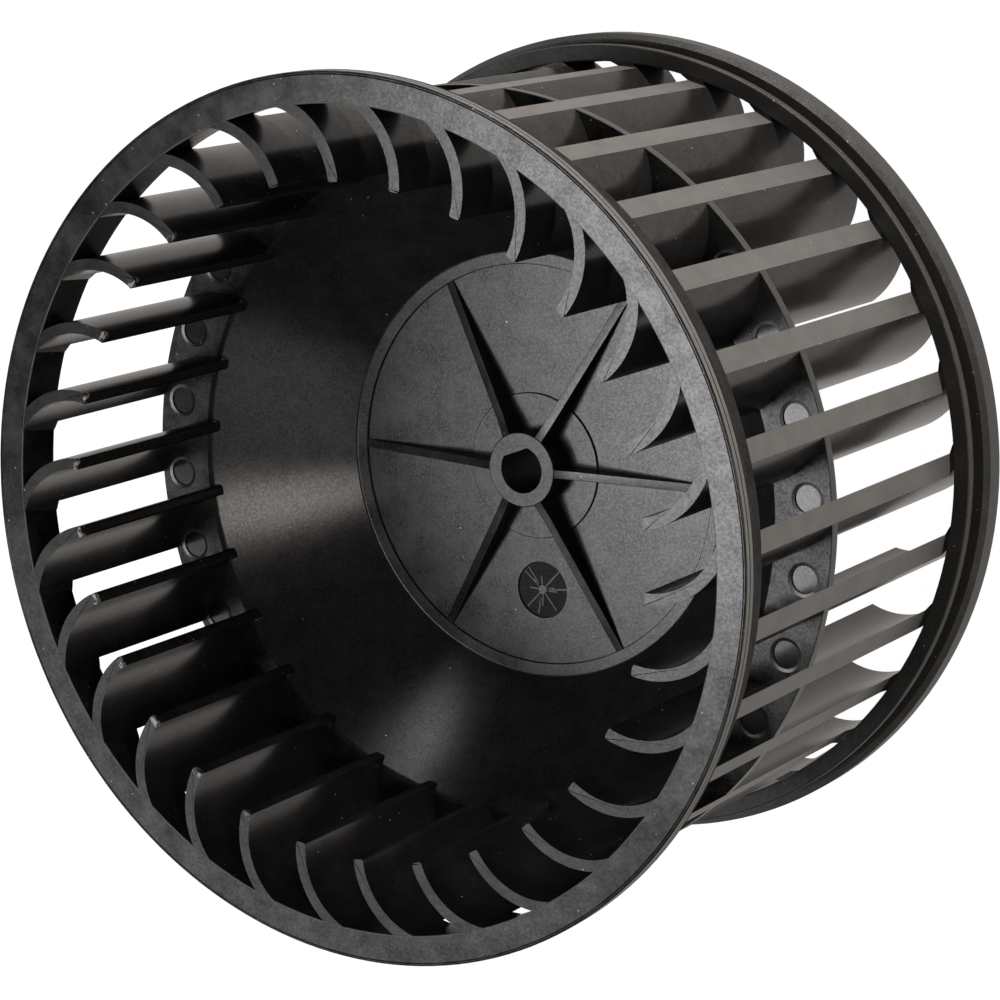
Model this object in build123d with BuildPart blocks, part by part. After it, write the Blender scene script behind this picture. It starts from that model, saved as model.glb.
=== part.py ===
from build123d import *
import os
from math import atan2, cos, radians, sin

os.makedirs("parts", exist_ok=True)

# A double-inlet blower wheel, moulded in one piece. The wheel stands on its rear ring,
# with its shaft along +Z and the middle of the rear face at the origin. Millimetres.

# Overall sizes
rim_radius = 71.5
wheel_length = 89.0

# Front ring: a rim at the open end and a thinner band behind it
front_rim_height = 3.0
front_ring_height = 8.8
rim_step = 2.2
front_rim_bevel = 0.4
band_wall = 2.9
ring_draft = 0.6

# Rear ring: a rim, a groove and a lip that faces the blades
rear_rim_height = 5.0
rear_rim_bevel = 0.9
rear_foot_bevel = 0.6
rear_ring_height = 9.0
lip_thickness = 1.8
lip_overhang = 0.6
groove_depth = 1.3

# Blades, curved forward, from one end of the wheel to the other
blade_count = 30
blade_depth = 12.0
blade_thickness = 1.85
blade_curve = 13.6
blade_lead = 10.26
blade_root = 1.6
blade_phase = 0.87

# Middle plate that carries the blades
front_drum_depth = 37.3
plate_thickness = 1.35
plate_width = 10.7

# Dished web: a cone that leads down to a flat disc
cone_width = 18.7
cone_drop = 18.2
cone_wall = 1.5
disc_rim_width = 2.3
disc_recess = 0.4
disc_thickness = 1.8

# Hub with a D-shaped bore, on a low round pad
hub_radius = 6.5
hub_length = 22.0
hub_rise = 4.4
pad_radius = 12.7
pad_rise = 0.4
bore_radius = 3.97
bore_flat = 3.22
bore_flat_angle = 105.2

# Ribs from the hub to the edge of the disc
rib_count = 6
rib_thickness = 1.5
rib_end_height = 0.25
rib_shoulder_width = 3.2
rib_shoulder_height = 3.6
rib_phase = 52.8

# Round recess left bare where the mould holds its date stamp
stamp_radius = 5.0
stamp_depth = 0.3
stamp_distance = 21.8
stamp_angle = 267.1

# How far joined shapes run into each other
overlap = 0.8

# Radii and heights that follow from the sizes above
band_radius = rim_radius - rim_step
wall_radius = band_radius - band_wall
ring_back_radius = wall_radius + ring_draft
groove_radius = band_radius + lip_overhang - groove_depth
lip_radius = band_radius + lip_overhang
root_radius = wall_radius + blade_root
tip_radius = wall_radius - blade_depth

plate_top = wheel_length - front_drum_depth
plate_bottom = plate_top - plate_thickness
cone_top_radius = wall_radius - plate_width
disc_radius = cone_top_radius - cone_width
disc_top = plate_top - cone_drop
disc_face = disc_top - disc_recess
disc_bottom = disc_face - disc_thickness
recess_radius = disc_radius - disc_rim_width
hub_top = disc_face + hub_rise
hub_bottom = hub_top - hub_length
pad_top = disc_face + pad_rise

# The underside of the cone is its upper side moved outwards by the wall
cone_angle = atan2(cone_drop, cone_width)
cone_shift = cone_wall / sin(cone_angle)
cone_run = cone_width / cone_drop
under_top_radius = cone_top_radius - plate_thickness * cone_run + cone_shift
under_bottom_radius = disc_radius - (disc_top - disc_bottom) * cone_run + cone_shift


def polar(radius, angle):
    return (radius * cos(radians(angle)), radius * sin(radians(angle)))


tip_point = polar(tip_radius, blade_phase)
root_point = polar(root_radius, blade_phase + blade_lead)

with BuildSketch() as blade_outline:
    with BuildLine() as blade_middle:
        RadiusArc(tip_point, root_point, -blade_curve)
    trace(line_width=blade_thickness)

with BuildPart() as blower_wheel:
    # Blades, cut flush with the middle plate's rim between the rings
    with BuildSketch() as blade_row:
        with PolarLocations(0, blade_count):
            add(blade_outline.sketch)
    extrude(amount=wheel_length)
    with BuildSketch(Plane.XZ) as blade_envelope:
        with BuildLine():
            Polyline(
                (0, 0),
                (root_radius, 0),
                (root_radius, rear_ring_height),
                (wall_radius, rear_ring_height),
                (wall_radius, wheel_length - front_ring_height),
                (root_radius, wheel_length - front_ring_height),
                (root_radius, wheel_length),
                (0, wheel_length),
                close=True,
            )
        make_face()
    revolve(axis=Axis.Z, mode=Mode.INTERSECT)

    # Front ring
    with BuildSketch(Plane.XZ) as front_ring:
        with BuildLine():
            Polyline(
                (wall_radius, wheel_length),
                (rim_radius, wheel_length),
                (rim_radius, wheel_length - front_rim_height),
                (band_radius, wheel_length - front_rim_height),
                (band_radius, wheel_length - front_ring_height),
                (ring_back_radius, wheel_length - front_ring_height),
                close=True,
            )
        make_face()
        front_corner = front_ring.vertices().sort_by_distance((rim_radius, wheel_length, 0))[0:1]
        chamfer(front_corner, length=front_rim_bevel)
    revolve(axis=Axis.Z)

    # Rear ring
    with BuildSketch(Plane.XZ) as rear_ring:
        with BuildLine():
            Polyline(
                (wall_radius, 0),
                (rim_radius, 0),
                (rim_radius, rear_rim_height - rear_rim_bevel),
                (rim_radius - rear_rim_bevel, rear_rim_height),
                (groove_radius, rear_rim_height),
                (groove_radius, rear_ring_height - lip_thickness),
                (lip_radius, rear_ring_height - lip_thickness),
                (lip_radius, rear_ring_height),
                (ring_back_radius, rear_ring_height),
                close=True,
            )
        make_face()
        rear_corner = rear_ring.vertices().sort_by_distance((rim_radius, 0, 0))[0:1]
        chamfer(rear_corner, length=rear_foot_bevel)
    revolve(axis=Axis.Z)

    # Middle plate, cone, disc and hub
    with BuildSketch(Plane.XZ) as web:
        with BuildLine():
            Polyline(
                (0, hub_top),
                (hub_radius, hub_top),
                (hub_radius, pad_top),
                (pad_radius, pad_top),
                (pad_radius, disc_face),
                (recess_radius, disc_face),
                (recess_radius, disc_top),
                (disc_radius, disc_top),
                (cone_top_radius, plate_top),
                (wall_radius, plate_top),
                (wall_radius, plate_bottom),
                (under_top_radius, plate_bottom),
                (under_bottom_radius, disc_bottom),
                (hub_radius, disc_bottom),
                (hub_radius, hub_bottom),
                (0, hub_bottom),
                close=True,
            )
        make_face()
    revolve(axis=Axis.Z)

    # Ribs
    for rib in range(rib_count):
        rib_plane = Plane.XZ.rotated((0, 0, rib_phase + rib * 360 / rib_count))
        with BuildSketch(rib_plane) as rib_side:
            with BuildLine():
                Polyline(
                    (hub_radius, hub_top),
                    (hub_radius + rib_shoulder_width, disc_face + rib_shoulder_height),
                    (recess_radius, disc_face + rib_end_height),
                    (recess_radius, disc_face - overlap),
                    (hub_radius - overlap, disc_face - overlap),
                    (hub_radius - overlap, hub_top),
                    close=True,
                )
            make_face()
        extrude(amount=rib_thickness / 2, both=True)

    # Bare place of the date stamp
    with BuildSketch(Plane.XY.offset(disc_face)) as stamp:
        with Locations(polar(stamp_distance, stamp_angle)):
            Circle(stamp_radius)
    extrude(amount=-stamp_depth, mode=Mode.SUBTRACT)

    # D-shaped bore through the hub
    with BuildSketch(Plane.XY.offset(hub_top)) as bore:
        Circle(bore_radius)
        with Locations(Location(polar(bore_flat + bore_radius, bore_flat_angle), bore_flat_angle)):
            Rectangle(2 * bore_radius, 4 * bore_radius, mode=Mode.SUBTRACT)
    extrude(amount=-hub_length, mode=Mode.SUBTRACT)

blower_wheel.part.label = "blower_wheel"
export_step(blower_wheel.part, "parts/blower_wheel.step")
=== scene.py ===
"""Blower wheel, moulded in one piece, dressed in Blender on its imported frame.

The wheel stands on its rear ring, with its shaft along +Z. Sizes are in metres, and MM
turns a size in millimetres into metres.
"""
import math

import bmesh
import bpy
from mathutils import Matrix, Vector


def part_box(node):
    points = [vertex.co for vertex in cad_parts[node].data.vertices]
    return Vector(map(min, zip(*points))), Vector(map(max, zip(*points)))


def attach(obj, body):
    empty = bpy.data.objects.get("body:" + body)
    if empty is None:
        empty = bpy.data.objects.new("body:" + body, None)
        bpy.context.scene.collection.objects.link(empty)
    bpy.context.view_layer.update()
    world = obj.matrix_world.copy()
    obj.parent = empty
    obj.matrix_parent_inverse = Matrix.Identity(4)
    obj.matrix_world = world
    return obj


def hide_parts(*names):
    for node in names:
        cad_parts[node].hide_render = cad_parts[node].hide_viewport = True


bl_info = {
    "name": "Blower Wheel",
    "version": (1, 0, 0),
    "blender": (4, 5, 0),
    "location": "View3D > Sidebar > Blower Wheel",
    "description": "Builds a moulded double-inlet blower wheel with its studio",
    "category": "Object",
}

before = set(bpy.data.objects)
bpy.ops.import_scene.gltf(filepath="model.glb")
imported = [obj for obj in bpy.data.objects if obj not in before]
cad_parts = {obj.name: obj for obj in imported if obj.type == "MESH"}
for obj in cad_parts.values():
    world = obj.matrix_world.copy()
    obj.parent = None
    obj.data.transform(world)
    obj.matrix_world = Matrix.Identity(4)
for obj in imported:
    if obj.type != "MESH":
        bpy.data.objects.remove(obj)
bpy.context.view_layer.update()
wheel_low, wheel_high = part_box("blower_wheel")

MM = 0.001
Z_AXIS = Vector((0, 0, 1))
TURN = 2 * math.pi


# Sizes and colours -------------------------------------------------------------------

def length(name, description, default):
    return bpy.props.FloatProperty(
        name=name, description=description, default=default, min=0.0,
        unit="LENGTH", subtype="DISTANCE", precision=5)


def angle(name, description, default):
    return bpy.props.FloatProperty(
        name=name, description=description, default=math.radians(default),
        unit="ROTATION", subtype="ANGLE")


def linear(code):
    """Linear red, green, blue and alpha of an sRGB hex colour such as #1a1a1a."""
    channels = [int(code[i:i + 2], 16) / 255 for i in (1, 3, 5)]
    return [c / 12.92 if c <= 0.04045 else ((c + 0.055) / 1.055) ** 2.4 for c in channels] + [1.0]


def colour(name, description, code):
    return bpy.props.FloatVectorProperty(
        name=name, description=description, default=linear(code), size=4,
        min=0.0, max=1.0, subtype="COLOR")


class RingSizes(bpy.types.PropertyGroup):
    """Sizes of the two end rings."""
    rim_radius: length("Rim radius", "Outside of both rings", wheel_high[0])
    wheel_length: length("Wheel length", "From one ring's face to the other's", wheel_high[2])
    wall_radius: length("Inner wall", "Inside of both rings at their faces", 66.4 * MM)
    wall_back_radius: length("Wall at the back", "Drafted wall at the blades' side", 67.0 * MM)
    band_radius: length("Band radius", "Outside of the band behind the front rim", 69.3 * MM)
    front_rim: length("Front rim", "Height of the front rim", 3.0 * MM)
    front_height: length("Front ring", "Height of the whole front ring", 8.8 * MM)
    rear_rim: length("Rear rim", "Height of the rear rim", 5.0 * MM)
    rear_height: length("Rear ring", "Height of the whole rear ring", 9.0 * MM)
    lip_radius: length("Lip radius", "Outside of the lip above the groove", 69.9 * MM)
    lip_thickness: length("Lip thickness", "Lip at the top of the rear ring", 1.8 * MM)
    groove_radius: length("Groove radius", "Bottom of the groove", 68.6 * MM)
    corner: length("Corner", "Rounding of the rings' sharp corners", 0.35 * MM)


class BladeSizes(bpy.types.PropertyGroup):
    """Sizes of the curved blades."""
    count: bpy.props.IntProperty(
        name="Blades", description="Blades in the wheel", default=30, min=3)
    tip_radius: length("Tip radius", "Where the inner edges lie", 54.4 * MM)
    outer_radius: length("Outer radius", "Where the outer faces lie", 66.38 * MM)
    curve: length("Curve", "Radius of the blade's middle line", 13.6 * MM)
    thickness: length("Thickness", "Wall of a blade", 1.85 * MM)
    lead: angle("Lead", "How far the root is ahead of the tip", 10.26)
    root_radius: length("Root radius", "Where the lead is measured", 68.0 * MM)
    phase: angle("Phase", "Angle of the first blade's tip", 0.87)
    tip_round: length("Tip rounding", "Rounding of the inner edge", 0.5 * MM)


class WebSizes(bpy.types.PropertyGroup):
    """Sizes of the middle plate, cone, disc, hub and ribs."""
    plate_top: length("Plate top", "Height of the middle plate", 51.7 * MM)
    plate_thickness: length("Plate thickness", "Wall of the middle plate", 1.9 * MM)
    cone_top_radius: length("Cone top", "Where the cone meets the plate", 55.7 * MM)
    disc_radius: length("Disc radius", "Where the cone meets the disc", 37.0 * MM)
    disc_top: length("Disc rim height", "Height of the raised rim of the disc", 33.5 * MM)
    recess_radius: length("Disc recess", "Inside of the raised rim", 34.7 * MM)
    disc_face: length("Disc height", "Height of the disc", 33.1 * MM)
    disc_thickness: length("Disc thickness", "Wall of the disc", 1.8 * MM)
    pad_radius: length("Pad radius", "Low round pad under the hub", 12.7 * MM)
    hub_radius: length("Hub radius", "Outside of the hub", 6.5 * MM)
    hub_top: length("Hub top", "Height of the hub", 37.5 * MM)
    hub_bottom: length("Hub bottom", "Height of the hub's rear end", 15.5 * MM)
    bore_radius: length("Bore radius", "Round part of the D-shaped bore", 3.97 * MM)
    bore_flat: length("Bore flat", "From the axis to the flat", 3.22 * MM)
    flat_angle: angle("Flat angle", "Direction that the flat faces", 105.2)
    rib_thickness: length("Rib thickness", "Wall of a rib", 1.5 * MM)
    rib_phase: angle("Rib phase", "Angle of the first rib", 52.8)
    mark_radius: length("Mark radius", "Round ejector marks on the plate", 2.3 * MM)
    mark_distance: length("Mark distance", "From the axis to a mark", 62.1 * MM)
    mark_phase: angle("Mark phase", "Angle of the first mark", -2.3)
    stamp_radius: length("Stamp radius", "Bare place of the date stamp", 5.0 * MM)
    stamp_distance: length("Stamp distance", "From the axis to the stamp", 21.8 * MM)
    stamp_angle: angle("Stamp angle", "Direction of the stamp", 267.1)


class Finish(bpy.types.PropertyGroup):
    """Colours of the plastic and the studio."""
    plastic: colour("Plastic", "Moulded black polypropylene", "#1b1a1a")
    # Greyer rubbed plastic for the clouds; as the base of the rear ring and of the plate's rim it
    # is painted light, lighter than the black plastic.
    bloom_and_sheen: colour("Bloom", "Greyer, rubbed plastic", "#3a3938")
    # Lighter warm grey, painted light: painted reflection of the pale floor on the outer faces and
    # painted highlight along the front edges.
    painted_sheen_grey: colour("Matt", "Outer faces, drawn along the mould", "#787572")
    dust: colour("Dust", "Dust and scratches", "#b9b5ae")
    floor: colour("Floor", "Pale floor", "#f4f4f2")


# Mesh helpers ------------------------------------------------------------------------

def sizes(context):
    scene = context.scene
    return scene.wheel_rings, scene.wheel_blades, scene.wheel_web, scene.wheel_finish


def spin_profile(bm, points, steps=180):
    """A profile of (radius, height) points, spun about the shaft; closed unless it starts there."""
    corners = [bm.verts.new((r, 0, z)) for r, z in points]
    following = corners[1:] + (corners[:1] if points[0][0] > 0 else [])
    edges = [bm.edges.new(ends) for ends in zip(corners, following)]
    bmesh.ops.spin(
        bm, geom=corners + edges, cent=(0, 0, 0), axis=Z_AXIS, dvec=(0, 0, 0),
        angle=TURN, steps=steps, use_merge=True, use_duplicate=False)
    bmesh.ops.remove_doubles(bm, verts=bm.verts, dist=0.001 * MM)
    bmesh.ops.recalc_face_normals(bm, faces=bm.faces)


def round_edges(bm, edges, radius, segments=3):
    bmesh.ops.bevel(
        bm, geom=edges, offset=radius, offset_type="OFFSET", segments=segments,
        profile=0.5, affect="EDGES", clamp_overlap=True, material=-1)


def circle_edges(bm, radius, height):
    """Edges of the spun profile that lie on the circle of this radius and height."""
    def on_circle(v):
        return abs(v.co.xy.length - radius) < 0.02 * MM and abs(v.co.z - height) < 0.02 * MM
    return [e for e in bm.edges if on_circle(e.verts[0]) and on_circle(e.verts[1])]


def repeat_around(bm, count):
    """Copies the mesh about the shaft until there are count of it."""
    first = bm.verts[:] + bm.edges[:] + bm.faces[:]
    for turn in range(1, count):
        copy = bmesh.ops.duplicate(bm, geom=first)["geom"]
        verts = [g for g in copy if isinstance(g, bmesh.types.BMVert)]
        turned = Matrix.Rotation(turn * TURN / count, 3, "Z")
        bmesh.ops.rotate(bm, verts=verts, cent=(0, 0, 0), matrix=turned)


def cut_away(bm, cutter):
    """Takes the closed mesh cutter out of bm. The new walls keep the cutter's finish."""
    solids = []
    for name, source in (("body", bm), ("cutter", cutter)):
        mesh = bpy.data.meshes.new(name)
        source.to_mesh(mesh)
        source.free()
        for _ in range(3):
            mesh.materials.append(None)  # empty slots, so that the faces keep their finishes
        solids.append(bpy.data.objects.new(name, mesh))
        bpy.context.collection.objects.link(solids[-1])
    body, tool = solids
    cut = body.modifiers.new("cut", "BOOLEAN")
    cut.operation, cut.solver, cut.object = "DIFFERENCE", "EXACT", tool
    left = bmesh.new()
    left.from_object(body, bpy.context.evaluated_depsgraph_get())
    for solid in solids:
        bpy.data.meshes.remove(solid.data)
    return left


def add_disc(bm, place, low_radius, high_radius, bottom, top, segments=40):
    """Adds an upright closed cone or cylinder, with place as its (x, y)."""
    middle = Matrix.Translation((*place, (top + bottom) / 2))
    bmesh.ops.create_cone(
        bm, cap_ends=True, segments=segments, radius1=low_radius, radius2=high_radius,
        depth=top - bottom, matrix=middle)


def around(radius, turn):
    return radius * math.cos(turn), radius * math.sin(turn)


def looks_outwards(face, radius):
    """Tells whether the face lies at this radius and looks away from the shaft."""
    away = face.calc_center_median().to_2d()
    near = abs(away.length - radius) < 0.2 * MM
    return near and face.normal.to_2d().dot(away.normalized()) > 0.9


def finish_piece(bm, name, materials, sharp=35):
    """Makes the mesh an object at the origin that rides on the wheel and replaces its solid."""
    mesh = bpy.data.meshes.new(name)
    for face in bm.faces:
        face.smooth = abs(face.normal.z) < 0.999
    for edge in bm.edges:
        if len(edge.link_faces) == 2:
            edge.smooth = edge.calc_face_angle(0) < math.radians(sharp)
    bm.to_mesh(mesh)
    bm.free()
    piece = bpy.data.objects.new(name, mesh)
    bpy.context.collection.objects.link(piece)
    for material in materials:
        mesh.materials.append(material)
    even = piece.modifiers.new("even_shading", "WEIGHTED_NORMAL")
    even.keep_sharp = True
    # Keeps the low side light from drawing bands on the curved blades
    piece.cycles.shadow_terminator_geometry_offset = 0.1
    piece.cycles.shadow_terminator_offset = 0.1
    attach(piece, "root")
    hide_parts("blower_wheel")
    return piece


# Materials ---------------------------------------------------------------------------

def add_node(tree, kind, settings=None, **links):
    """Adds a node. settings go to its properties, links to its inputs as values or sockets."""
    node = tree.nodes.new(kind)
    for key, value in (settings or {}).items():
        setattr(node, key, value)
    for key, value in links.items():
        numbered = key[0] == "i" and key[1:].isdigit()
        socket = node.inputs[int(key[1:]) if numbered else key.replace("_", " ")]
        if isinstance(value, bpy.types.NodeSocket):
            tree.links.new(value, socket)
        else:
            socket.default_value = value
    return node


def ramp(tree, source, low, high):
    """Runs smoothly from 0 at low to 1 at high."""
    return add_node(
        tree, "ShaderNodeMapRange", {"interpolation_type": "SMOOTHSTEP"},
        Value=source, From_Min=low, From_Max=high).outputs["Result"]


def times(tree, first, second):
    return add_node(
        tree, "ShaderNodeMath", {"operation": "MULTIPLY"}, i0=first, i1=second).outputs[0]


def scaled(tree, place, share):
    """The place with each of its three numbers multiplied by its own share."""
    return add_node(
        tree, "ShaderNodeVectorMath", {"operation": "MULTIPLY"}, i0=place, i1=share).outputs[0]


def blend(tree, share, first, second):
    """Colour that runs from first to second as share runs from 0 to 1."""
    return add_node(
        tree, "ShaderNodeMix", {"data_type": "RGBA"}, i0=share, i6=first, i7=second).outputs[2]


def chipped_corners(tree, place, ring, blade):
    """Whitish nicks at the blades' front inner corners, only on the side towards -X."""
    at = add_node(tree, "ShaderNodeSeparateXYZ", Vector=place).outputs
    flat = scaled(tree, place, (1, 1, 0))
    radius = add_node(
        tree, "ShaderNodeVectorMath", {"operation": "LENGTH"}, i0=flat).outputs["Value"]
    deep, faint = 0.5 * MM, 1.1 * MM
    high = ramp(tree, at["Z"], ring.wheel_length - faint, ring.wheel_length - deep)
    inner = ramp(tree, radius, blade.tip_radius + faint, blade.tip_radius + deep)
    side = ramp(tree, at["X"], -20 * MM, -40 * MM)
    crumbs = add_node(
        tree, "ShaderNodeTexNoise", Vector=place, Scale=1 / (0.9 * MM), Detail=3.0).outputs["Fac"]
    broken = ramp(tree, crumbs, 0.44, 0.54)
    return times(tree, times(tree, high, inner), times(tree, side, broken))


def moulded_polypropylene(
        name, finish, base=None, cloud=0.5, speckle=0.3, dust=0.3, rough=0.22, sheen=0.5,
        streak=0.0, chips=None):
    """Moulded black polypropylene: a satin black skin that looks grey where it mirrors light.

    The eye sees cloudy greyer patches where the skin is rubbed, the fine grain of the
    spark-eroded mould and pale dust. A lighter base, where one is given, is painted light
    that stands in for reflections and highlights, and streak adds streaks along the shaft.
    cloud, speckle, dust and streak say how strong each is, and chips holds the ring and
    blade sizes where corners are chipped.
    """
    material = bpy.data.materials.new(name)
    material.use_nodes = True
    tree = material.node_tree
    tree.nodes.clear()
    place = add_node(tree, "ShaderNodeTexCoord").outputs["Object"]

    # Clouds about 5 mm across, broken up by smaller ones
    clouds = add_node(
        tree, "ShaderNodeTexNoise", Vector=place, Scale=1 / (5 * MM), Detail=8.0,
        Roughness=0.66).outputs["Fac"]
    rubbed = ramp(tree, clouds, 0.36, 0.68)

    # Grain of the mould, drawn coarser than it is, about 0.4 mm, so that it shows
    grain = add_node(
        tree, "ShaderNodeTexNoise", Vector=place, Scale=1 / (0.4 * MM), Detail=1.0,
        Roughness=0.6).outputs["Fac"]
    fine = ramp(tree, grain, 0.35, 0.75)

    # Dust: one speck in a few of the cells, which are 1.4 mm wide
    cells = add_node(
        tree, "ShaderNodeTexVoronoi", Vector=place, Scale=1 / (1.4 * MM), Randomness=1.0)
    speck = ramp(tree, cells.outputs["Distance"], 0.13, 0.05)
    chosen = add_node(tree, "ShaderNodeSeparateColor", Color=cells.outputs["Color"]).outputs["Red"]
    chosen = ramp(tree, chosen, 1 - 0.25 * dust, 1 - 0.2 * dust)
    specks = times(tree, speck, chosen)

    # Colour: the base, then what lies on it
    bloom_and_sheen = tuple(finish.bloom_and_sheen)
    skin = blend(tree, times(tree, rubbed, cloud), tuple(base or finish.plastic), bloom_and_sheen)
    skin = blend(tree, times(tree, fine, speckle), skin, bloom_and_sheen)
    if streak:
        # Streaks 0.7 mm wide, drawn out along the shaft as the mould opened
        drawn = scaled(tree, place, (1, 1, 0.03))
        streaks = add_node(
            tree, "ShaderNodeTexNoise", Vector=drawn, Scale=1 / (0.7 * MM),
            Detail=3.0).outputs["Fac"]
        skin = blend(tree, times(tree, streaks, streak), skin, bloom_and_sheen)
    dusty = blend(tree, specks, skin, tuple(finish.dust))
    if chips:
        dusty = blend(tree, chipped_corners(tree, place, *chips), dusty, tuple(finish.dust))

    # Gloss: rubbed patches mirror more light, and the grain breaks it up
    roughness = add_node(
        tree, "ShaderNodeMapRange", Value=clouds, From_Min=0.3, From_Max=0.7,
        To_Min=rough - 0.04 * cloud, To_Max=rough + 0.07 * cloud).outputs["Result"]
    mirror = add_node(
        tree, "ShaderNodeMapRange", Value=clouds, From_Min=0.35, From_Max=0.65,
        To_Min=sheen * (1 - 0.45 * cloud), To_Max=sheen * (1 + 0.35 * cloud)).outputs["Result"]
    pits = add_node(
        tree, "ShaderNodeMapRange", Value=grain, From_Min=0.35, From_Max=0.65,
        To_Min=1 - 0.8 * speckle, To_Max=1 + 0.8 * speckle).outputs["Result"]
    mirror = times(tree, mirror, pits)
    shader = add_node(
        tree, "ShaderNodeBsdfPrincipled", Base_Color=dusty, Roughness=roughness,
        Specular_IOR_Level=mirror, IOR=1.49)
    add_node(tree, "ShaderNodeOutputMaterial", Surface=shader.outputs[0])
    return material


# Pieces ------------------------------------------------------------------------------

class WHEEL_OT_front_ring(bpy.types.Operator):
    """Adds the front ring, with its rim, band and drafted wall"""
    bl_idname = "wheel.front_ring"
    bl_label = "Front Ring"

    def execute(self, context):
        ring, _, _, finish = sizes(context)
        top = ring.wheel_length
        rim_back, ring_back = top - ring.front_rim, top - ring.front_height
        # Two fine parting grooves, one in the face and one in the side of the rim
        line, fine = ring.rim_radius - 0.55 * MM, 0.12 * MM
        # Above this height the rim's side gets the lighter grey as painted reflection, and below it
        # the dull finish as painted shade.
        shade_line = top - 2 * MM
        bm = bmesh.new()
        spin_profile(bm, [
            (ring.wall_radius, top), (line - fine, top), (line, top - fine), (line + fine, top),
            (ring.rim_radius, top),
            (ring.rim_radius, top - 0.9 * MM), (ring.rim_radius - 0.1 * MM, top - 1.05 * MM),
            (ring.rim_radius, top - 1.2 * MM), (ring.rim_radius, shade_line),
            (ring.rim_radius, rim_back), (ring.band_radius, rim_back),
            (ring.band_radius, ring_back), (ring.wall_back_radius, ring_back)])
        rim_edges = circle_edges(bm, ring.rim_radius, top)
        rim_edges += circle_edges(bm, ring.rim_radius, rim_back)
        round_edges(bm, rim_edges, ring.corner)
        round_edges(bm, circle_edges(bm, ring.wall_radius, top), 0.2 * MM, 2)
        round_edges(bm, circle_edges(bm, ring.wall_back_radius, ring_back), 0.25 * MM, 2)
        round_edges(bm, circle_edges(bm, ring.band_radius, ring_back), 0.2 * MM, 2)
        # The rim's side above that height and the faces along the inner edge take the lighter grey,
        # painted reflection and painted highlight; below it the rim's side, its back and the sunk
        # band take the dull finish, painted shade.
        for face in bm.faces:
            place = face.calc_center_median()
            if place.z > shade_line:
                near_wall = place.xy.length < ring.wall_radius + 0.15 * MM
                painted_highlight = near_wall and place.z > top - 0.2 * MM
                face.material_index = 2 if painted_highlight or looks_outwards(face, ring.rim_radius) else 0
            elif place.xy.length > ring.band_radius - 0.1 * MM:
                face.material_index = 1
        # Glossy and dusty in front, a dull finish as painted shade on the sunk band, and a lighter
        # grey as painted reflection on the rim and painted highlight along the inner edge
        glossy = moulded_polypropylene(
            "moulded_polypropylene_ring", finish, cloud=0.65, dust=0.9, rough=0.2)
        painted_shade_finish = moulded_polypropylene("moulded_polypropylene_painted_shade", finish, rough=0.6, sheen=0.15)
        drawn = moulded_polypropylene(
            "moulded_polypropylene_rim_painted_sheen", finish, finish.painted_sheen_grey, cloud=0.3, rough=0.45)
        finish_piece(bm, "front_ring", [glossy, painted_shade_finish, drawn])
        return {"FINISHED"}


class WHEEL_OT_rear_ring(bpy.types.Operator):
    """Adds the rear ring, with its rim, groove and lip"""
    bl_idname = "wheel.rear_ring"
    bl_label = "Rear Ring"

    def execute(self, context):
        ring, _, _, finish = sizes(context)
        lip_back = ring.rear_height - ring.lip_thickness
        bevel = 0.9 * MM
        bm = bmesh.new()
        spin_profile(bm, [
            (ring.wall_radius, 0), (ring.rim_radius, 0),
            (ring.rim_radius, ring.rear_rim - bevel), (ring.rim_radius - bevel, ring.rear_rim),
            (ring.groove_radius, ring.rear_rim), (ring.groove_radius, lip_back),
            (ring.lip_radius, lip_back), (ring.lip_radius, ring.rear_height),
            (ring.wall_back_radius, ring.rear_height)])
        round_edges(bm, circle_edges(bm, ring.rim_radius, 0), 0.6 * MM)
        round_edges(bm, circle_edges(bm, ring.lip_radius, ring.rear_height), 0.3 * MM)
        round_edges(bm, circle_edges(bm, ring.lip_radius, lip_back), 0.2 * MM, 2)
        round_edges(bm, circle_edges(bm, ring.wall_back_radius, ring.rear_height), 0.25 * MM, 2)
        # The rim's outer faces take the greyer base as painted reflection, and the groove takes the
        # dull finish as painted shade.
        for face in bm.faces:
            place = face.calc_center_median()
            in_groove = ring.rear_rim + 0.05 * MM < place.z < lip_back - 0.05 * MM
            if looks_outwards(face, ring.rim_radius):
                face.material_index = 2
            elif in_groove and place.xy.length > ring.groove_radius - 0.1 * MM:
                face.material_index = 1
        # Cloudy lip on a greyer base painted lighter than the plastic; dull groove as painted
        # shade; greyer rim as painted reflection
        cloudy = moulded_polypropylene(
            "moulded_polypropylene_rear", finish, finish.bloom_and_sheen, cloud=0.8, speckle=0.4, dust=0.5,
            rough=0.4)
        painted_shade_finish = moulded_polypropylene("moulded_polypropylene_painted_shade", finish, rough=0.6, sheen=0.15)
        drawn = moulded_polypropylene(
            "moulded_polypropylene_foot_painted_sheen", finish, finish.bloom_and_sheen, cloud=0.3, rough=0.45)
        finish_piece(bm, "rear_ring", [cloudy, painted_shade_finish, drawn])
        return {"FINISHED"}


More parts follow.
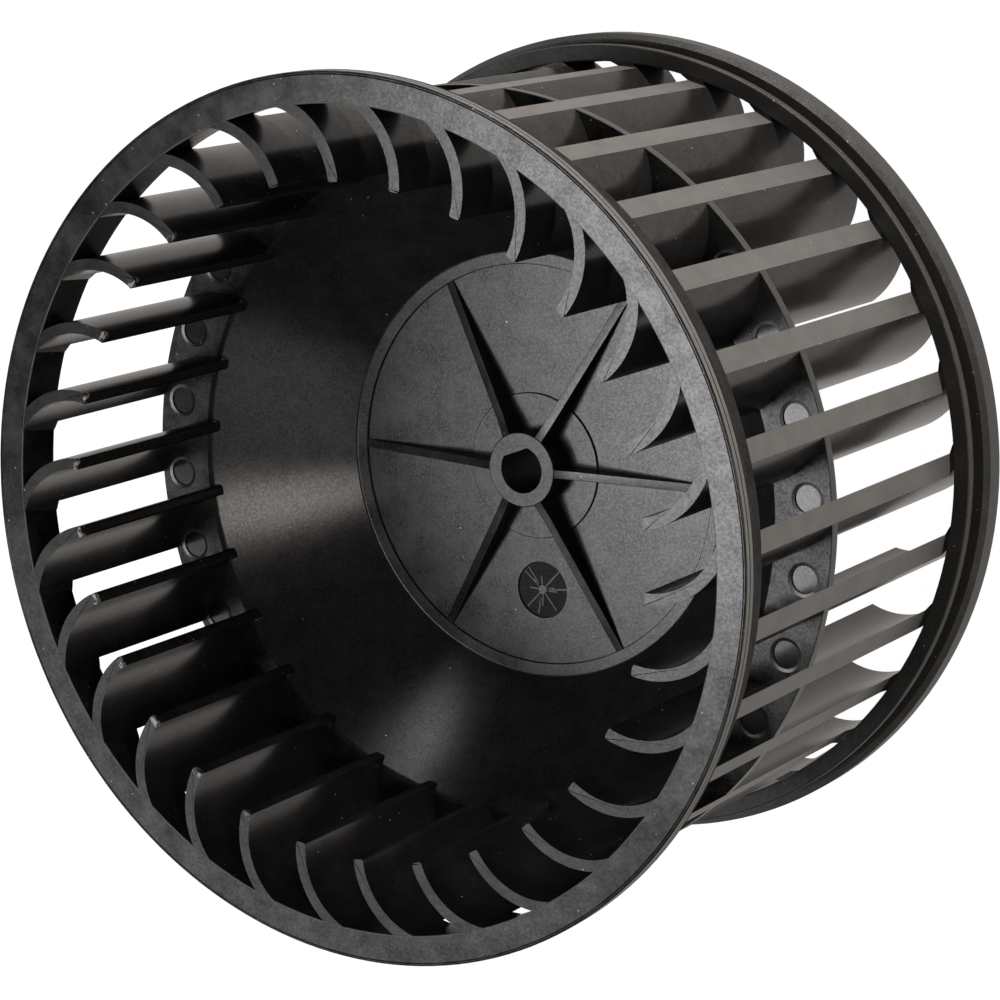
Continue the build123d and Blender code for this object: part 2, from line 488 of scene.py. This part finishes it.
class WHEEL_OT_blades(bpy.types.Operator):
    """Adds the curved blades, which run from one ring to the other"""
    bl_idname = "wheel.blades"
    bl_label = "Blades"

    def execute(self, context):
        ring, blade, _, finish = sizes(context)
        tip = Vector((math.cos(blade.phase), math.sin(blade.phase), 0)) * blade.tip_radius
        ahead = blade.phase + blade.lead
        root = Vector((math.cos(ahead), math.sin(ahead), 0)) * blade.root_radius
        chord = root - tip
        sagitta = math.sqrt(blade.curve ** 2 - (chord.length / 2) ** 2)
        centre = (tip + root) / 2 + Z_AXIS.cross(chord).normalized() * sagitta
        start = math.atan2(tip.y - centre.y, tip.x - centre.x)
        top = ring.wheel_length
        front_back = top - ring.front_height
        low = 0.02 * MM

        # One blade's end: two arcs about the same centre, joined into one face
        bm = bmesh.new()
        for radius in (blade.curve - blade.thickness / 2, blade.curve + blade.thickness / 2):
            away = centre.length
            cosine = (blade.outer_radius ** 2 - away ** 2 - radius ** 2) / (2 * away * radius)
            end = math.atan2(centre.y, centre.x) - math.acos(cosine)
            x, y = around(radius, start)
            foot = bm.verts.new((centre.x + x, centre.y + y, low))
            bmesh.ops.spin(
                bm, geom=[foot], cent=centre, axis=Z_AXIS, angle=end - start, steps=40,
                use_merge=False, use_duplicate=False)
        bmesh.ops.bridge_loops(bm, edges=bm.edges)
        bmesh.ops.dissolve_faces(bm, faces=bm.faces)

        def at_tip(v):
            return (v.co.xy - tip.xy).length < 0.6 * blade.thickness
        bmesh.ops.bevel(
            bm, geom=[v for v in bm.verts if at_tip(v)], offset=blade.tip_round,
            offset_type="OFFSET", segments=4, profile=0.5, affect="VERTICES", material=-1)
        reach = math.radians(7.5)
        ends = sorted(bm.verts, key=lambda v: -v.co.xy.length)[:2]
        bmesh.ops.rotate(bm, verts=ends, cent=centre, matrix=Matrix.Rotation(reach, 3, "Z"))

        # Raised level by level; the root end reaches into each ring and is flush between them
        faces = bm.faces[:]
        levels = [(ring.rear_height - 0.03 * MM, 0), (ring.rear_height - 0.01 * MM, -reach),
                  (front_back + 0.01 * MM, 0), (front_back + 0.03 * MM, reach), (top - low, 0)]
        height = low
        for level, turn in levels:
            raised = bmesh.ops.extrude_face_region(bm, geom=faces)["geom"]
            faces = [g for g in raised if isinstance(g, bmesh.types.BMFace)]
            verts = [g for g in raised if isinstance(g, bmesh.types.BMVert)]
            bmesh.ops.translate(bm, verts=verts, vec=(0, 0, level - height))
            height = level
            if turn:
                ends = sorted(verts, key=lambda v: -v.co.xy.length)[:2]
                bmesh.ops.rotate(bm, verts=ends, cent=centre, matrix=Matrix.Rotation(turn, 3, "Z"))
        bmesh.ops.recalc_face_normals(bm, faces=bm.faces)

        # Fine rounding around both ends
        def at_end(face):
            height = face.calc_center_median().z
            return abs(face.normal.z) > 0.99 and not 2 * low <= height <= top - 2 * low
        caps = [f for f in bm.faces if at_end(f)]
        rims = [e for f in caps for e in f.edges
                if max(v.co.xy.length for v in e.verts) < ring.wall_radius + 1 * MM]
        round_edges(bm, rims, 0.2 * MM, 2)

        repeat_around(bm, blade.count)
        # The outer faces take the lighter grey as painted reflection, and the faces along the front
        # end's edges take it as painted highlight.
        for face in bm.faces:
            painted_highlight = face.calc_center_median().z > top - 0.22 * MM and abs(face.normal.z) < 0.98
            if painted_highlight or looks_outwards(face, blade.outer_radius):
                face.material_index = 1
        # Satin faces with chipped corners; outer faces and front edges in a lighter grey with
        # streaks, painted reflection and painted highlight
        satin = moulded_polypropylene(
            "moulded_polypropylene_blade", finish, cloud=0.3, sheen=0.45, streak=0.2,
            chips=(ring, blade))
        drawn = moulded_polypropylene(
            "moulded_polypropylene_outer_painted_sheen", finish, finish.painted_sheen_grey, cloud=0.3, rough=0.45, streak=0.3)
        finish_piece(bm, "blades", [satin, drawn])
        return {"FINISHED"}


class WHEEL_OT_web(bpy.types.Operator):
    """Adds the middle plate, the cone, the disc and the hub with its bore"""
    bl_idname = "wheel.web"
    bl_label = "Web and Hub"

    def execute(self, context):
        ring, blade, web, finish = sizes(context)
        rim = blade.outer_radius - 0.03 * MM
        plate_bottom = web.plate_top - web.plate_thickness
        disc_bottom = web.disc_face - web.disc_thickness
        slope = (web.cone_top_radius - web.disc_radius) / (web.plate_top - web.disc_top)
        wall = 1.5 * MM * math.hypot(1, slope)
        under_top = web.cone_top_radius - web.plate_thickness * slope + wall
        under_bottom = web.disc_radius - (web.disc_top - disc_bottom) * slope + wall
        pad_top = web.disc_face + 0.35 * MM
        bm = bmesh.new()
        spin_profile(bm, [
            (web.bore_radius, web.hub_top), (web.hub_radius, web.hub_top),
            (web.hub_radius, pad_top), (web.pad_radius, pad_top),
            (web.pad_radius, web.disc_face), (web.recess_radius, web.disc_face),
            (web.recess_radius, web.disc_top), (web.disc_radius, web.disc_top),
            (web.cone_top_radius, web.plate_top), (rim, web.plate_top),
            (rim, plate_bottom), (under_top, plate_bottom),
            (under_bottom, disc_bottom), (web.hub_radius, disc_bottom),
            (web.hub_radius, web.hub_bottom), (web.bore_radius, web.hub_bottom)])
        round_edges(bm, circle_edges(bm, web.hub_radius, web.hub_top), 0.2 * MM)
        round_edges(bm, circle_edges(bm, web.bore_radius, web.hub_top), 0.12 * MM, 2)
        round_edges(bm, circle_edges(bm, web.pad_radius, pad_top), 0.15 * MM, 2)
        round_edges(bm, circle_edges(bm, web.recess_radius, web.disc_top), 0.15 * MM, 2)
        round_edges(bm, circle_edges(bm, web.disc_radius, web.disc_top), 0.25 * MM, 2)
        round_edges(bm, circle_edges(bm, web.cone_top_radius, web.plate_top), 0.6 * MM, 1)
        rim_edges = circle_edges(bm, rim, web.plate_top) + circle_edges(bm, rim, plate_bottom)
        round_edges(bm, rim_edges, 0.15 * MM, 2)

        # Ejector marks: shallow round recesses with a sunk edge, one between each two blades
        marks = bmesh.new()
        bottom, brim = web.plate_top - 0.35 * MM, web.plate_top - 0.08 * MM
        outer, above = web.mark_radius + 0.75 * MM, web.plate_top + 0.03 * MM
        spin_profile(marks, [
            (0, bottom), (web.mark_radius, bottom), (web.mark_radius, brim), (outer, above),
            (0, above)], 40)
        for face in marks.faces:
            face.material_index = int(face.calc_center_median().z < brim)
        place = around(web.mark_distance, web.mark_phase)
        bmesh.ops.translate(marks, verts=marks.verts, vec=(*place, 0))
        repeat_around(marks, blade.count)
        bm = cut_away(bm, marks)

        # Bare place of the date stamp, and the D-shaped bore
        stamp_place = around(web.stamp_distance, web.stamp_angle)
        stamp = bmesh.new()
        add_disc(stamp, stamp_place, web.stamp_radius - 0.15 * MM, web.stamp_radius,
                 web.disc_face - 0.35 * MM, web.disc_face + 0.02 * MM, 64)
        for face in stamp.faces:
            face.material_index = 2
        bm = cut_away(bm, stamp)

        # Plain spokes of uneven length in the stamp's recess, about a small round peg
        for turn in range(14):
            spoke = turn * TURN / 14 + 0.35 * math.sin(5 * turn)
            reach = web.stamp_radius * (0.62 + 0.3 * math.sin(3.1 * turn + 1))
            bar = bmesh.ops.create_cube(bm, size=1)["verts"]
            for face in bar[0].link_faces[:] + bar[-1].link_faces[:]:
                face.material_index = 1
            bmesh.ops.scale(bm, verts=bar, vec=(reach, 0.28 * MM, 0.2 * MM))
            bmesh.ops.translate(bm, verts=bar, vec=(reach / 2 + 0.5 * MM, 0, 0))
            bmesh.ops.rotate(bm, verts=bar, cent=(0, 0, 0), matrix=Matrix.Rotation(spoke, 3, "Z"))
            bmesh.ops.translate(bm, verts=bar, vec=(*stamp_place, web.disc_face - 0.3 * MM))
        add_disc(bm, stamp_place, 0.9 * MM, 0.8 * MM,
                 web.disc_face - 0.4 * MM, web.disc_face - 0.1 * MM, 24)

        # The bore's flat, a bar that runs into the hub's wall
        flat = bmesh.new()
        bar = bmesh.ops.create_cube(flat, size=1)["verts"]
        wide = web.bore_radius - web.bore_flat + 0.4 * MM
        high = web.hub_top - web.hub_bottom - 0.02 * MM
        half_way = (web.hub_top + web.hub_bottom) / 2
        bmesh.ops.scale(flat, verts=bar, vec=(wide, 1.6 * web.bore_radius, high))
        bmesh.ops.translate(flat, verts=bar, vec=(web.bore_flat + wide / 2, 0, half_way))
        turned = Matrix.Rotation(web.flat_angle, 3, "Z")
        bmesh.ops.rotate(flat, verts=bar, cent=(0, 0, 0), matrix=turned)
        mesh = bpy.data.meshes.new("bore_flat")
        flat.to_mesh(mesh)
        flat.free()
        bm.from_mesh(mesh)

        # Finely grained cone and disc, polished marks, a dull finish in the bore as painted shade
        # and on the stamp's floor as its own tone, a greyer rim as painted reflection, and a
        # cloudier, less glossy plate top
        grained = moulded_polypropylene(
            "moulded_polypropylene_web", finish, cloud=0.25, speckle=0.3, dust=0.12, rough=0.22)
        polished = moulded_polypropylene(
            "moulded_polypropylene_mark", finish, cloud=0.3, speckle=0.15, rough=0.16)
        bore_shade_and_stamp = moulded_polypropylene(
            "moulded_polypropylene_bore", finish, cloud=0.2, rough=0.5, sheen=0.15)
        drawn = moulded_polypropylene(
            "moulded_polypropylene_edge_painted_sheen", finish, finish.bloom_and_sheen, cloud=0.3, rough=0.35)
        cloudier_plate = moulded_polypropylene(
            "moulded_polypropylene_plate", finish, cloud=0.9, speckle=0.4, rough=0.28, sheen=0.36)
        # The bore's wall takes the dull finish as painted shade, and the plate's outer rim takes
        # the greyer base as painted reflection.
        for face in bm.faces:
            place = face.calc_center_median()
            if place.xy.length < web.bore_radius + 0.05 * MM and abs(face.normal.z) < 0.5:
                face.material_index = 2
            elif looks_outwards(face, rim):
                face.material_index = 3
            elif face.normal.z > 0.99 and place.z > web.plate_top - 0.05 * MM:
                face.material_index = 4
        finish_piece(bm, "web", [grained, polished, bore_shade_and_stamp, drawn, cloudier_plate])
        return {"FINISHED"}


class WHEEL_OT_ribs(bpy.types.Operator):
    """Adds the six ribs between the hub and the edge of the disc"""
    bl_idname = "wheel.ribs"
    bl_label = "Ribs"

    def execute(self, context):
        _, _, web, finish = sizes(context)
        inner = web.hub_radius - 0.5 * MM
        under = web.disc_face - 0.3 * MM
        side = [
            (inner, web.hub_top - 0.1 * MM), (web.hub_radius, web.hub_top - 0.1 * MM),
            (web.hub_radius + 3.2 * MM, web.disc_face + 3.6 * MM),
            (web.recess_radius + 0.1 * MM, web.disc_face + 0.25 * MM),
            (web.recess_radius + 0.1 * MM, under), (inner, under)]
        bm = bmesh.new()
        corners = [bm.verts.new((r, -web.rib_thickness / 2, z)) for r, z in side]
        face = bm.faces.new(corners)
        raised = bmesh.ops.extrude_face_region(bm, geom=[face])["geom"]
        verts = [g for g in raised if isinstance(g, bmesh.types.BMVert)]
        bmesh.ops.translate(bm, verts=verts, vec=(0, web.rib_thickness, 0))
        bmesh.ops.recalc_face_normals(bm, faces=bm.faces)
        crest = [e for e in bm.edges if min(v.co.z for v in e.verts) > web.disc_face
                 and abs(e.verts[0].co.y - e.verts[1].co.y) < 0.01 * MM
                 and abs(e.verts[0].co.x - e.verts[1].co.x) > 1 * MM]
        round_edges(bm, crest, 0.3 * MM, 2)
        turned = Matrix.Rotation(web.rib_phase, 3, "Z")
        bmesh.ops.rotate(bm, verts=bm.verts, cent=(0, 0, 0), matrix=turned)
        repeat_around(bm, 6)
        satin = moulded_polypropylene("moulded_polypropylene_rib", finish, cloud=0.4, dust=0.12)
        finish_piece(bm, "ribs", [satin])
        return {"FINISHED"}


# Studio ------------------------------------------------------------------------------

def soft_light(name, middle, turn, rise, distance, size, power, tint="#ffffff"):
    """An area light that faces middle from a direction: turn from +X about +Z, and rise."""
    lamp = bpy.data.lights.new(name, "AREA")
    lamp.shape = "RECTANGLE"
    lamp.size, lamp.size_y = size
    lamp.energy = power
    lamp.color = linear(tint)[:3]
    light = bpy.data.objects.new(name, lamp)
    turn, rise = math.radians(turn), math.radians(rise)
    away = Vector((*around(math.cos(rise), turn), math.sin(rise)))
    light.location = middle + away * distance
    light.rotation_euler = (-away).to_track_quat("-Z", "Y").to_euler()
    bpy.context.collection.objects.link(light)
    return light


class WHEEL_OT_stage(bpy.types.Operator):
    """Adds the pale floor, the soft lights, the world and the camera"""
    bl_idname = "wheel.stage"
    bl_label = "Studio"

    def execute(self, context):
        _, _, _, finish = sizes(context)
        scene = context.scene
        scene.view_settings.view_transform = "Standard"

        # Camera at the photograph's angle: where it stands, where it looks, and its own up
        eye = Vector((301.219, 80.634, 493.739)) * MM
        forward = Vector((-0.550581, -0.154335, -0.820391)).normalized()
        up = Vector((0, 0.982761, -0.184880))
        up = (up - forward * up.dot(forward)).normalized()
        right = forward.cross(up)
        lens = bpy.data.cameras.new("camera")
        lens.lens, lens.sensor_width = 117, 36
        lens.clip_start, lens.clip_end = 0.01, 50
        camera = bpy.data.objects.new("camera", lens)
        camera.matrix_world = Matrix((
            (right.x, up.x, -forward.x, eye.x),
            (right.y, up.y, -forward.y, eye.y),
            (right.z, up.z, -forward.z, eye.z),
            (0, 0, 0, 1)))
        context.collection.objects.link(camera)
        scene.camera = camera

        # Pale floor: white to the camera, and it keeps a faint shadow
        bm = bmesh.new()
        bmesh.ops.create_circle(bm, cap_ends=True, segments=64, radius=6)
        mesh = bpy.data.meshes.new("floor")
        bm.to_mesh(mesh)
        bm.free()
        floor = bpy.data.objects.new("floor", mesh)
        floor.location.z = wheel_low[2] - 0.0002
        context.collection.objects.link(floor)
        material = bpy.data.materials.new("pale_floor")
        material.use_nodes = True
        tree = material.node_tree
        tree.nodes.clear()
        path = add_node(tree, "ShaderNodeLightPath")
        even = add_node(tree, "ShaderNodeBsdfDiffuse", Color=tuple(finish.floor))
        mirrored = add_node(
            tree, "ShaderNodeMath", {"operation": "MAXIMUM"}, i0=path.outputs["Is Glossy Ray"],
            i1=path.outputs["Is Transmission Ray"]).outputs[0]
        warm = add_node(tree, "ShaderNodeEmission", Color=linear("#fff8f2"), Strength=0.65)
        glow = add_node(tree, "ShaderNodeEmission", Color=(1, 1, 1, 1), Strength=1.17)
        indirect = add_node(
            tree, "ShaderNodeMixShader", i0=mirrored, i1=even.outputs[0], i2=warm.outputs[0])
        seen = add_node(tree, "ShaderNodeMath", {"operation": "MULTIPLY"},
                        i0=path.outputs["Is Camera Ray"], i1=0.85).outputs[0]
        mixed = add_node(
            tree, "ShaderNodeMixShader", i0=seen, i1=indirect.outputs[0], i2=glow.outputs[0])
        add_node(tree, "ShaderNodeOutputMaterial", Surface=mixed.outputs[0])
        mesh.materials.append(material)

        # World: white behind the wheel, dim and even as light
        world = bpy.data.worlds.new("studio")
        scene.world = world
        world.use_nodes = True
        tree = world.node_tree
        tree.nodes.clear()
        path = add_node(tree, "ShaderNodeLightPath")
        even = add_node(tree, "ShaderNodeBackground", Color=(1, 1, 1, 1), Strength=0.06)
        white = add_node(tree, "ShaderNodeBackground", Color=(1, 1, 1, 1), Strength=1.0)
        mixed = add_node(tree, "ShaderNodeMixShader", i0=path.outputs["Is Camera Ray"],
                         i1=even.outputs[0], i2=white.outputs[0])
        add_node(tree, "ShaderNodeOutputWorld", Surface=mixed.outputs[0])

        middle = Vector((0, 0, 45)) * MM
        soft_light("left_light", middle, -172, 68, 0.75, (0.26, 0.26), 1.75)
        soft_light("fill_light", middle, -151, 49, 0.75, (0.34, 0.30), 0.45)
        soft_light("front_light", middle, -2, 43, 0.90, (0.20, 0.12), 0.7, "#fff8f0")
        soft_light("top_light", middle, 95, 27, 0.80, (0.20, 0.12), 0.4)
        soft_light("right_light", middle, -40, 30, 0.80, (0.50, 0.40), 0.5)
        soft_light("side_light", middle, 60, 0.5, 0.80, (1.10, 0.05), 7, "#fffaf4")
        return {"FINISHED"}


class WHEEL_PT_panel(bpy.types.Panel):
    """Lists the wheel's pieces in the 3D view's sidebar"""
    bl_label = "Blower Wheel"
    bl_idname = "WHEEL_PT_panel"
    bl_space_type = "VIEW_3D"
    bl_region_type = "UI"
    bl_category = "Blower Wheel"

    def draw(self, context):
        for operator in OPERATORS:
            self.layout.operator(operator.bl_idname)


OPERATORS = (
    WHEEL_OT_front_ring, WHEEL_OT_rear_ring, WHEEL_OT_blades, WHEEL_OT_web, WHEEL_OT_ribs,
    WHEEL_OT_stage)
GROUPS = {
    "wheel_rings": RingSizes, "wheel_blades": BladeSizes, "wheel_web": WebSizes,
    "wheel_finish": Finish}


def register():
    for name, group in GROUPS.items():
        bpy.utils.register_class(group)
        setattr(bpy.types.Scene, name, bpy.props.PointerProperty(type=group))
    for each in OPERATORS + (WHEEL_PT_panel,):
        bpy.utils.register_class(each)


def unregister():
    for each in OPERATORS + (WHEEL_PT_panel,):
        bpy.utils.unregister_class(each)
    for name, group in GROUPS.items():
        delattr(bpy.types.Scene, name)
        bpy.utils.unregister_class(group)


def main():
    register()
    bpy.ops.wheel.front_ring()
    bpy.ops.wheel.rear_ring()
    bpy.ops.wheel.blades()
    bpy.ops.wheel.web()
    bpy.ops.wheel.ribs()
    bpy.ops.wheel.stage()


if __name__ == "__main__":
    main()
